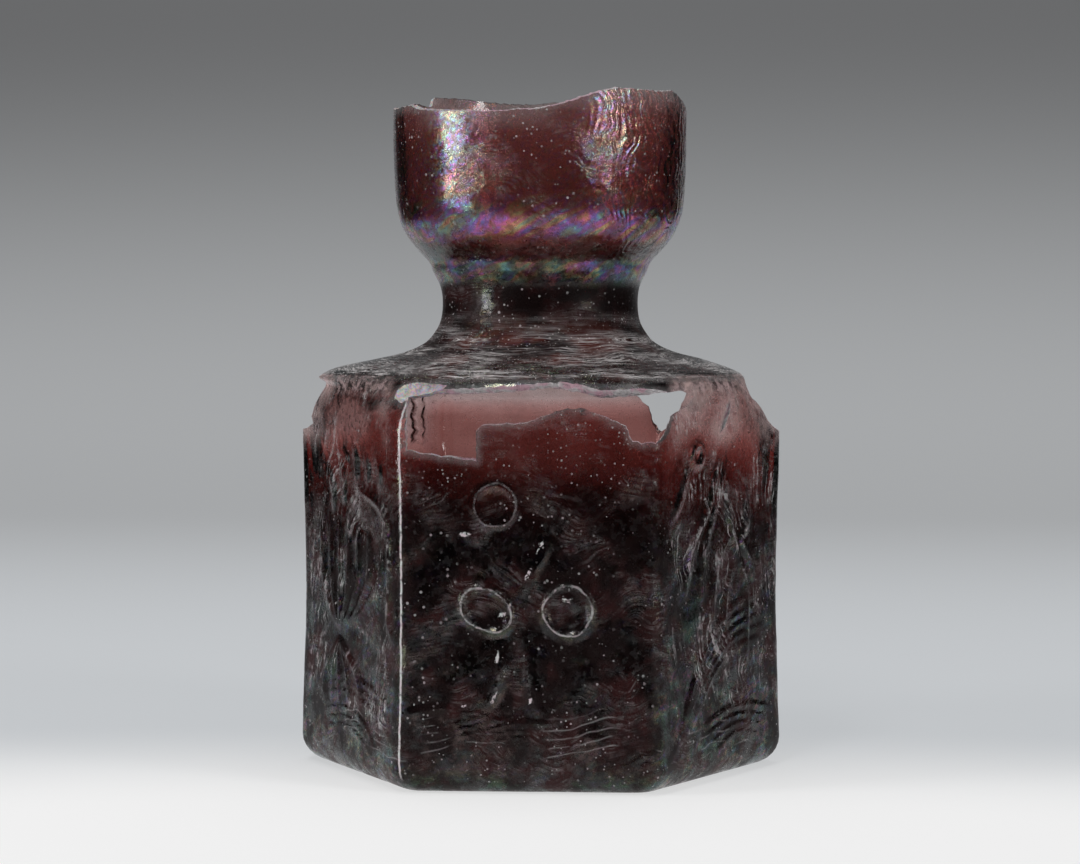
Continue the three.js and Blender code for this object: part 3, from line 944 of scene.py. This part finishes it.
def column_turns(front_columns, back_columns):
    """Turns round the jar, closer together over the three front panels."""
    front = np.linspace(-3 * THIRTY, 3 * THIRTY, 3 * front_columns, endpoint=False)
    back = np.linspace(3 * THIRTY, 9 * THIRTY, 3 * back_columns + 1)
    return np.concatenate([front, back])


def closed_rows(profile):
    return np.vstack([[0, profile[0][1]], profile, [0, profile[-1][1]]])


def away_from_axis(places):
    """The level direction from the axis to each place."""
    level = places * (1, 1, 0)
    return level / np.maximum(np.linalg.norm(level, axis=1), 1e-6)[:, None]


def outer_form(sizes, tree, material):
    """The outside, with its relief, a little unevenness and the ledge over the left corner."""
    rows = closed_rows(outer_profile(sizes, 7, sizes.body_rows, 84))
    form = sheet_object("outer_form", rows, column_turns(sizes.front_columns, 22), material)
    with_nodes(form, tree, glass=material)
    face_outward(form)
    places = corners_of(form) / MM
    x, y, z = places.T
    height, outward = relief_at(places, sizes)
    free = smoothstep(z, 0.4, 3) * smoothstep(np.hypot(x, y), 8, 11)
    sway = 0.045 * unevenness(places, 9, 3) + 0.02 * unevenness(places, 3.2, 4)
    turn = np.degrees(np.arctan2(x, -y))
    ledge = smoothstep(z, 44.6, 45.8) * smoothstep(z, 48.2, 46.8) * np.exp(-((turn + 88) / 22) ** 2)
    sway += sizes.ledge * ledge
    shift = (sway * free - OUTER_INSET)[:, None]
    set_corners(form, (places + outward * height[:, None] + away_from_axis(places) * shift) * MM)
    return form


def inner_form(sizes, tree, material):
    """The inside, nearer the outside where the walls are thin and further in at the front of the shoulder."""
    rows = closed_rows(inner_profile(sizes, 4, 40, 54))
    form = sheet_object("inner_form", rows, column_turns(30, 24), material)
    with_nodes(form, tree, glass=material)
    face_outward(form)
    places = corners_of(form) / MM
    x, y, z = places.T
    aside = np.abs(x)
    sway = 0.12 * unevenness(places, 8, 11) + 0.05 * unevenness(places, 3, 12)
    height = z + 1.6 * unevenness(places, 12, 13)
    side = smoothstep(aside, 12, 18) * smoothstep(height, 33, 39.5) * smoothstep(z, 46, 44.6)
    side *= 1 - 0.55 * smoothstep(aside, 24.5, 26.5)
    back = smoothstep(y, 8, 14) * smoothstep(aside, 18, 12) * smoothstep(z, 40.3, 43)
    back *= smoothstep(z, 45.4, 44.4)
    front = smoothstep(-y, 8, 14) * smoothstep(aside, 20, 17) * smoothstep(z, 42.2, 44.2)
    plate = front * smoothstep(np.hypot(x, y), 14, 18)
    sway = sway * (1 - 0.5 * side) * (1 - front)
    sway += sizes.thin_side * side + (sizes.wall_thickness - sizes.thin_shoulder) * back - 0.4 * plate
    moved = places + away_from_axis(places) * sway[:, None]
    moved[:, 2] -= sizes.thick_plate * plate
    set_corners(form, moved * MM)
    return form


def jagged(outline, step, seed):
    """The outline with points added every step, each nudged a little to either side."""
    rng = np.random.default_rng(seed)
    made = []
    for start, end in zip(outline, outline[1:] + outline[:1]):
        start, end = np.array(start, float), np.array(end, float)
        parts = max(1, int(np.linalg.norm(end - start) / step))
        for i in range(parts):
            nudge = rng.normal(0, 0.06, 2) if i else np.zeros(2)
            made.append(start + (end - start) * i / parts + nudge)
    return made


def loft(name, sections, material):
    """A closed body through outlines that all have the same number of corners."""
    n = len(sections[0])
    places = [place for section in sections for place in section]
    faces = [tuple(range(n)), tuple(range(len(places) - 1, len(places) - n - 1, -1))]
    for low in range(0, len(places) - n, n):
        faces += [(low + i, low + (i + 1) % n, low + n + (i + 1) % n, low + n + i) for i in range(n)]
    made = mesh_object(name, np.array(places) * MM, faces, material)
    edit_mesh(made, lambda shape: bmesh.ops.triangulate(shape, faces=shape.faces))
    face_outward(made)
    return made


def break_cutter(name, outline, sections, panel, material):
    """A closed body that cuts a hole of this outline through a wall, seen square to a panel.

    Each section gives how far out it stands and how much its upper and lower edges have opened by there.
    """
    middle = sum(z for _, z in outline) / len(outline)
    half = max(abs(z - middle) for _, z in outline)
    c, s = math.cos(panel * 2 * THIRTY), math.sin(panel * 2 * THIRTY)
    rings = []
    for out, rise, drop in sections:
        ring = []
        for x, z in outline:
            opened = z + (rise if z > middle else drop) * (z - middle) / half
            ring.append((x * c + out * s, x * s - out * c, opened))
        rings.append(ring)
    return loft(name, rings, material)


def plate_front(x):
    """How far in front of the axis the curved edge of the shoulder stands at this x."""
    return 24.8 - 0.0125 * x * x


def front_cutter(outline, material):
    """Cuts the front break; its upper face slopes up and out through the edge of the shoulder."""
    middle = sum(z for _, z in outline) / len(outline)
    rings = []
    for inset, opened in ((AXIS_INSET, 0), (1.5, 0), (-0.4, 1), (-20, 1)):
        ring = []
        for x, z in outline:
            slope = (1.9 if x > 3 else 1.2) if z > middle else -0.25
            rise = opened * slope * min(abs(z - middle) / 2.5, 1)
            depth = min(inset - plate_front(x), 0) if inset < AXIS_INSET else 0
            ring.append((x, depth, z + rise))
        rings.append(ring)
    return loft("front_cutter", rings, material)


def flake_cutter(outline, material):
    """Scoops a shallow flake out of the edge of the shoulder."""
    middle_x, middle_z = np.mean(outline, axis=0)
    rings = []
    for depth, share in ((1.5, 0.15), (1.25, 0.6), (0.6, 0.9), (-0.4, 1.0), (-6, 1.0)):
        ring = []
        for x, z in outline:
            near_x = middle_x + (x - middle_x) * share
            ring.append((near_x, depth - plate_front(near_x), middle_z + (z - middle_z) * share))
        rings.append(ring)
    return loft("flake_cutter", rings, material)


def rim_cutter(material):
    """What is missing above the broken rim: a disc whose underside follows the break."""
    rng = np.random.default_rng(5)
    beyond, above = 25, 90
    degrees = np.arange(-75, 285, 1.2)
    known = np.array([RIM[-1]] + RIM + [RIM[0]], float)
    known[0, 0] -= 360
    known[-1, 0] += 360
    heights = np.interp(degrees, known[:, 0], known[:, 1]) + rng.normal(0, 0.05, len(degrees))
    rings = [(12, 0.35), (16.1, 0.2), (16.9, -0.05), (17.6, -0.12), (beyond, -0.3)]
    places = [(0, 0, 78.5)]
    for radius, lift in rings:
        for angle, height in zip(np.radians(degrees), heights):
            places.append((radius * math.sin(angle), -radius * math.cos(angle), height + lift))
    for angle in np.radians(degrees):
        places.append((beyond * math.sin(angle), -beyond * math.cos(angle), above))
    places.append((0, 0, above))
    n = len(degrees)
    top = len(places) - 1
    faces = []
    for i in range(n):
        j = (i + 1) % n
        faces.append((0, 1 + i, 1 + j))
        for ring in range(len(rings)):
            low, high = 1 + ring * n, 1 + (ring + 1) * n
            faces += [(low + i, high + i, high + j), (low + i, high + j, low + j)]
        last = 1 + len(rings) * n
        faces.append((last + i, top, last + j))
    made = mesh_object("rim_cutter", np.array(places) * MM, faces, material)
    face_outward(made)
    return made


def store(made, name, values, domain="POINT"):
    layer = made.data.attributes.new(name, "FLOAT", domain)
    layer.data.foreach_set("value", np.asarray(values, np.float32))


def mark_relief(made, sizes):
    """Stores how far each corner stands out as relief, for the finish to frost."""
    places = corners_of(made) / MM
    height, _ = relief_at(places, sizes)
    outside = np.hypot(places[:, 0], places[:, 1]) > sizes.apothem - 0.9
    store(made, "ridge", np.where(outside, height / sizes.ridge_height, 0.0))


def mark_sides(made, markers):
    """Turns marker materials into one face attribute each, and leaves the first material on every face."""
    index = np.array([face.material_index for face in made.data.polygons])
    for marker in markers:
        store(made, marker.name, index == made.data.materials.find(marker.name), "FACE")
    for slot in range(len(made.data.materials) - 1, 0, -1):
        made.data.materials.pop(index=slot)
    made.data.polygons.foreach_set("material_index", np.zeros(len(index), np.int32))


def mark_worn(made, material_index):
    """Stores how close each corner is to a break."""
    broken = {v for face in made.data.polygons if face.material_index == material_index
              for v in face.vertices}
    corners = made.data.vertices
    tree = KDTree(len(broken))
    for index in broken:
        tree.insert(corners[index].co, index)
    tree.balance()
    away = np.array([tree.find(corner.co)[2] for corner in corners]) / MM
    store(made, "worn", 1 - smoothstep(away, 0.05, 0.9))
    store(made, "pale", 1 - smoothstep(away, 0.1, 4.5))


# ---------------------------------------------------------------- properties

def millimetres(name, description, default, **limits):
    return FloatProperty(name=name, description=f"{description}, in millimetres", default=default, **limits)


def plain_colour(name, description, *default):
    return FloatVectorProperty(name=name, description=description, subtype="COLOR", size=3, default=default)


class JarSizes(bpy.types.PropertyGroup):
    panel_width: millimetres("Panel width", "Side of the hexagon, corner to corner", 28.9, min=5)
    corner_round: millimetres("Corner round", "Radius of the upright corners", 2.5, min=0.2)
    foot_round: millimetres("Foot round", "Radius where the panels turn into the base", 3.2)
    waist: millimetres("Waist", "How far the panels draw in at half height", 0.35)
    shoulder_foot: millimetres("Shoulder foot", "Height where the hexagon starts to turn round", 40.0)
    shoulder_edge: millimetres("Shoulder edge", "Height from which the plan is a circle", 47.5)
    base_thickness: millimetres("Base thickness", "Glass thickness of the base", 2.6)
    wall_thickness: millimetres("Wall thickness", "Glass thickness of the panels", 1.5)
    rim_thickness: millimetres("Cup thickness", "Glass thickness of the cup", 1.25)
    thin_rim: millimetres("Thin rim", "Glass thickness at the broken rim", 0.5)
    thin_side: millimetres("Thin side", "How much thinner the side panels are under the shoulder", 1.0)
    thin_shoulder: millimetres("Thin shoulder", "Glass thickness round the break at the back", 0.6)
    thick_plate: millimetres("Thick plate", "How much thicker the shoulder is at the front", 0.7)
    ledge: millimetres("Ledge", "How far the shoulder juts out over the left corner", 1.9)
    ridge_height: millimetres("Ridge height", "How far the relief stands out", 0.42)
    speck_radius: millimetres("Speck radius", "Largest radius of a grain of crust", 0.065)
    speck_density: FloatProperty(
        name="Speck density", description="Grains of crust on each square metre", default=90000.0)
    front_columns: IntProperty(
        name="Front columns", description="Mesh columns on each of the three front panels", default=84)
    body_rows: IntProperty(name="Body rows", description="Mesh rows up the panels", default=104)

    @property
    def apothem(self):
        return self.panel_width * math.sqrt(3) / 2


class JarFinish(bpy.types.PropertyGroup):
    glass_colour: plain_colour("Glass colour", "Colour that the glass lets through", 0.608, 0.10, 0.042)
    deep_tint: plain_colour("Deep tint", "Tint of the smoky lower walls", 0.07, 0.065, 0.07)
    deep_tint_two: plain_colour(
        "Deep tint, warmer", "Tint of the neck and second tint of the lower walls", 0.14, 0.07, 0.08)
    crust_colour: plain_colour("Crust colour", "Pale weathering crust", 0.66, 0.70, 0.68)
    crust_tint: plain_colour("Crust tint", "Warmer places in the crust", 0.70, 0.58, 0.62)
    shoulder_crust: plain_colour("Shoulder crust", "The whiter crust of the shoulder", 0.98, 0.93, 0.92)
    # Partly painted light: the pale fracture faces stand for frost and for the light caught in the break.
    edge_colour: plain_colour("Edge colour", "Frosted fracture faces", 0.97, 0.93, 0.94)
    edge_tint: plain_colour("Edge tint", "Pinker places on the fracture faces", 0.90, 0.58, 0.68)
    frost_colour: plain_colour("Frost colour", "Frosted places on the thin side walls", 0.84, 0.60, 0.60)
    frost_tint: plain_colour("Frost tint", "Darker places in that frost", 0.62, 0.44, 0.42)
    fold_colour: plain_colour("Fold colour", "Dark folds in the inside at the back left", 0.12, 0.03, 0.03)
    # Painted shade: the dull dark skin, with redder places, that dims reflections low on the body and round
    # the neck.
    shade_skin_and_rust: plain_colour("Patina", "Dull dark places low down and round the neck", 0.008, 0.003, 0.003)
    wine: plain_colour("Wine", "Redder places in the patina", 0.030, 0.006, 0.006)
    rust: plain_colour("Rust", "Red-brown places on the shoulder", 0.13, 0.030, 0.022)
    film_haze: plain_colour("Film haze", "Lilac that dulls the colours of the film", 0.36, 0.28, 0.46)
    glass_density: FloatProperty(
        name="Glass density", description="How strongly each millimetre absorbs", default=1.2)
    film_ior: FloatProperty(
        name="Film IOR", description="Refractive index of the clear glass's thin film", default=1.75)
    film_thickness: FloatProperty(
        name="Film thickness", description="Thickness of that film, in nanometres", default=420.0)


class StageSettings(bpy.types.PropertyGroup):
    # Painted pool of light on the floor round the jar.
    light_pool_colour: plain_colour("Floor colour", "The pale floor", 0.83, 0.83, 0.83)
    # Painted shade: the paper grades darker from where it leaves the floor up to the top of the backdrop.
    low_colour: plain_colour("Low colour", "The paper where it leaves the floor", 0.555, 0.575, 0.595)
    middle_colour: plain_colour("Middle colour", "The paper half way up", 0.42, 0.43, 0.44)
    high_colour: plain_colour("High colour", "The backdrop at its top", 0.155, 0.157, 0.16)
    shade_colour: plain_colour(
        "Shade colour", "The paper out of the light, to the sides and in front", 0.02, 0.02, 0.02)
    paper_glow: FloatProperty(
        name="Paper glow", description="Share of its colour that the paper gives off itself", default=0.745)
    camera_distance: millimetres("Camera distance", "From the jar's axis", 325.0)
    camera_turn: FloatProperty(
        name="Camera turn", description="Round from the front towards +X", subtype="ANGLE",
        default=math.radians(3.2))
    camera_height: millimetres("Camera height", "Above the base", 51.5)
    frame_width: millimetres("Frame width", "Width of the view at the jar's axis", 128.8)
    frame_aside: FloatProperty(
        name="Frame aside", description="Sideways shift of the frame, as a share of its width", default=0.0)
    frame_drop: FloatProperty(
        name="Frame drop", description="Upward shift of the frame, as a share of its width", default=-0.0957)


# ---------------------------------------------------------------- operators

class JAR_OT_glass(bpy.types.Operator):
    """Blows the jar: rolls the outer and inner forms, hollows it, and breaks the rim and shoulder"""
    bl_idname = "jar.glass"
    bl_label = "Glass jar"

    def execute(self, context):
        sizes, finish = context.scene.jar_sizes, context.scene.jar_finish
        glass = dark_glass(finish)
        lining, edge = bpy.data.materials.new("lining"), bpy.data.materials.new("broken")
        tree = rolled_hexagon_tree(sizes, glass)
        jar = outer_form(sizes, tree, glass)
        cut(jar, inner_form(sizes, tree, lining))
        cut(jar, rim_cutter(edge))
        cut(jar, front_cutter(jagged(FRONT_BREAK, 0.45, 21), edge))
        cut(jar, flake_cutter(jagged(FLAKE, 0.45, 25), edge))
        sloped = [(0, 0, 0), (-22.9, 0, 0), (-25.2, 1.2, 0.6), (-40, 1.2, 0.6)]
        cut(jar, break_cutter("back_cutter", jagged(BACK_BREAK, 0.5, 22), sloped, FRONT, edge))
        cut(jar, break_cutter("slit_cutter", SLIT, [(10, 0, 0), (40, 0, 0)], RIGHT, edge))
        for name, outline, seed in (("left_chip", LEFT_CHIP, 23), ("right_chip", RIGHT_CHIP, 24)):
            cut(jar, break_cutter(name, jagged(outline, 0.5, seed), [(9, 0, 0), (-9, 0, 0)], FRONT, edge))
        face_outward(jar)
        mark_relief(jar, sizes)
        mark_worn(jar, jar.data.materials.find(edge.name))
        mark_sides(jar, (lining, edge))
        jar.data.shade_smooth()
        jar.data.set_sharp_from_angle(angle=math.radians(42))
        jar.name = "weathered_jar"
        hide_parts(NODE)
        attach(jar, BODY)
        return {"FINISHED"}


def looks_out(face):
    """Whether a face of the jar looks away from its axis and lies above its foot."""
    middle = face.calc_center_median()
    return face.normal.x * middle.x + face.normal.y * middle.y > 0 and middle.z > CLEAN_FOOT * MM


def keep_outside(shape):
    bmesh.ops.delete(shape, geom=[face for face in shape.faces if not looks_out(face)], context="FACES")


class JAR_OT_specks(bpy.types.Operator):
    """Scatters grains of weathering crust over the outside of the jar"""
    bl_idname = "jar.specks"
    bl_label = "Crust grains"

    def execute(self, context):
        sizes, finish = context.scene.jar_sizes, context.scene.jar_finish
        jar = bpy.data.objects["weathered_jar"]
        crust = speck_crust(finish)
        ground = bpy.data.objects.new("crust_grains", jar.data.copy())
        context.scene.collection.objects.link(ground)
        edit_mesh(ground, keep_outside)
        with_nodes(ground, scattered_specks_tree(sizes, crust))
        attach(ground, BODY)
        return {"FINISHED"}


def studio_paper(settings):
    """Paper that glows a little, with light and shade painted into its colour: a painted pool of light on the
    floor round the jar, painted shade darker up the back, and painted shade to the sides and in front.
    """
    surface = Surface("studio_paper")
    x, y, z = surface.x, surface.y, surface.z
    # Painted shade: the paper darkens up the back and towards its top.
    colour = surface.mix(y.step(100, 480), settings.low_colour, settings.middle_colour)
    colour = surface.mix(z.step(15, 160), colour, settings.high_colour)
    # Painted shade to the sides here, and in front below.
    colour = surface.mix((x.abs() - y * 0.25).step(90, 230), colour, settings.shade_colour)
    # Painted pool of light on the floor round the jar.
    light_pool = ((x * 0.4) ** 2 + (y + 60) ** 2).root()
    colour = surface.mix(light_pool.step(90, 30), colour, settings.light_pool_colour)
    colour = surface.mix(y.step(-75, -170), colour, settings.shade_colour)
    lit = surface.mix(0.5, colour, (0, 0, 0))
    return surface.finish(surface.principled(
        base_color=lit, roughness=0.9, specular_ior_level=0.0,
        emission_color=colour, emission_strength=settings.paper_glow))


def stage_sweep(settings):
    """A floor that curves up into the backdrop."""
    front, back, bend, top, half = -900, 420, 160, 900, 1300
    curve = [(back + bend * math.sin(t), bend * (1 - math.cos(t))) for t in np.linspace(0, math.pi / 2, 13)]
    line = [(front, 0), *curve, (back + bend, top)]
    places = [(x, y, z) for x in (-half, half) for y, z in line]
    n = len(line)
    faces = [(i, n + i, n + i + 1, i + 1) for i in range(n - 1)]
    sweep = mesh_object("studio_sweep", np.array(places) * MM, faces, studio_paper(settings))
    sweep.data.shade_smooth()


def around(turn, reach, height):
    """The place at this turn round from the front towards +X."""
    return reach * math.sin(turn), -reach * math.cos(turn), height


def soft_box(name, place, target, width, height, brightness):
    """A plain soft box; its brightness is the radiance of its face."""
    light = bpy.data.lights.new(name, "AREA")
    light.shape = "RECTANGLE"
    light.size, light.size_y = width * MM, height * MM
    light.energy = brightness * math.pi * light.size * light.size_y
    made = bpy.data.objects.new(name, light)
    bpy.context.scene.collection.objects.link(made)
    place = Vector(place)
    made.location = place * MM
    made.rotation_euler = (Vector(target) - place).to_track_quat("-Z", "Y").to_euler()


def soft_light():
    """Two tall boxes to the sides, one overhead, a small one high in front, and dim air."""
    soft_box("left_box", around(math.radians(-66), 400, 120), (0, 0, 120), 110, 260, 8.0)
    soft_box("right_box", around(math.radians(57), 400, 175), (0, 0, 160), 100, 200, 8.0)
    soft_box("top_box", (0, 60, 700), (0, 0, 0), 500, 400, 2.0)
    soft_box("high_box", (-90, -250, 380), (0, 0, 45), 80, 80, 13.0)
    world = bpy.data.worlds.new("studio_air")
    world.use_nodes = True
    world.node_tree.nodes["Background"].inputs["Color"].default_value = (0.03, 0.03, 0.032, 1)
    world.node_tree.nodes["Background"].inputs["Strength"].default_value = 1.0
    bpy.context.scene.world = world


def front_camera(settings):
    lens = bpy.data.cameras.new("camera")
    lens.sensor_width = 36
    lens.lens = lens.sensor_width * settings.camera_distance / settings.frame_width
    lens.shift_x = settings.frame_aside
    lens.shift_y = settings.frame_drop
    lens.clip_start = 0.01
    camera = bpy.data.objects.new("camera", lens)
    bpy.context.scene.collection.objects.link(camera)
    place = around(settings.camera_turn, settings.camera_distance, settings.camera_height)
    camera.location = [part * MM for part in place]
    camera.rotation_euler = (math.pi / 2, 0, settings.camera_turn)
    bpy.context.scene.camera = camera


class JAR_OT_stage(bpy.types.Operator):
    """Sets the pale sweep, the soft lights and the camera"""
    bl_idname = "jar.stage"
    bl_label = "Studio"

    def execute(self, context):
        settings = context.scene.jar_stage
        stage_sweep(settings)
        soft_light()
        front_camera(settings)
        context.scene.view_settings.view_transform = "Standard"
        cycles = context.scene.cycles
        cycles.caustics_reflective = False
        cycles.caustics_refractive = False
        cycles.max_bounces = 11
        cycles.transmission_bounces = 9
        cycles.glossy_bounces = 3
        cycles.diffuse_bounces = 1
        cycles.use_light_tree = False
        cycles.sample_clamp_indirect = 4
        return {"FINISHED"}


class JAR_PT_panel(bpy.types.Panel):
    """The jar's makers, with their sizes and colours"""
    bl_idname = "JAR_PT_panel"
    bl_label = "Glass Jar"
    bl_space_type = "VIEW_3D"
    bl_region_type = "UI"
    bl_category = "Glass Jar"

    def draw(self, context):
        for settings in (context.scene.jar_sizes, context.scene.jar_finish, context.scene.jar_stage):
            box = self.layout.box()
            for name in settings.__annotations__:
                box.prop(settings, name)
        for operator in STEPS:
            self.layout.operator(operator.bl_idname)


GROUPS = {"jar_sizes": JarSizes, "jar_finish": JarFinish, "jar_stage": StageSettings}
STEPS = (JAR_OT_stage, JAR_OT_glass, JAR_OT_specks)
CLASSES = (*GROUPS.values(), *STEPS, JAR_PT_panel)


def register():
    for each in CLASSES:
        bpy.utils.register_class(each)
    for name, group in GROUPS.items():
        setattr(bpy.types.Scene, name, PointerProperty(type=group))


def unregister():
    for name in GROUPS:
        delattr(bpy.types.Scene, name)
    for each in reversed(CLASSES):
        bpy.utils.unregister_class(each)


def main():
    register()
    bpy.ops.jar.stage()
    bpy.ops.jar.glass()
    bpy.ops.jar.specks()


if __name__ == "__main__":
    main()
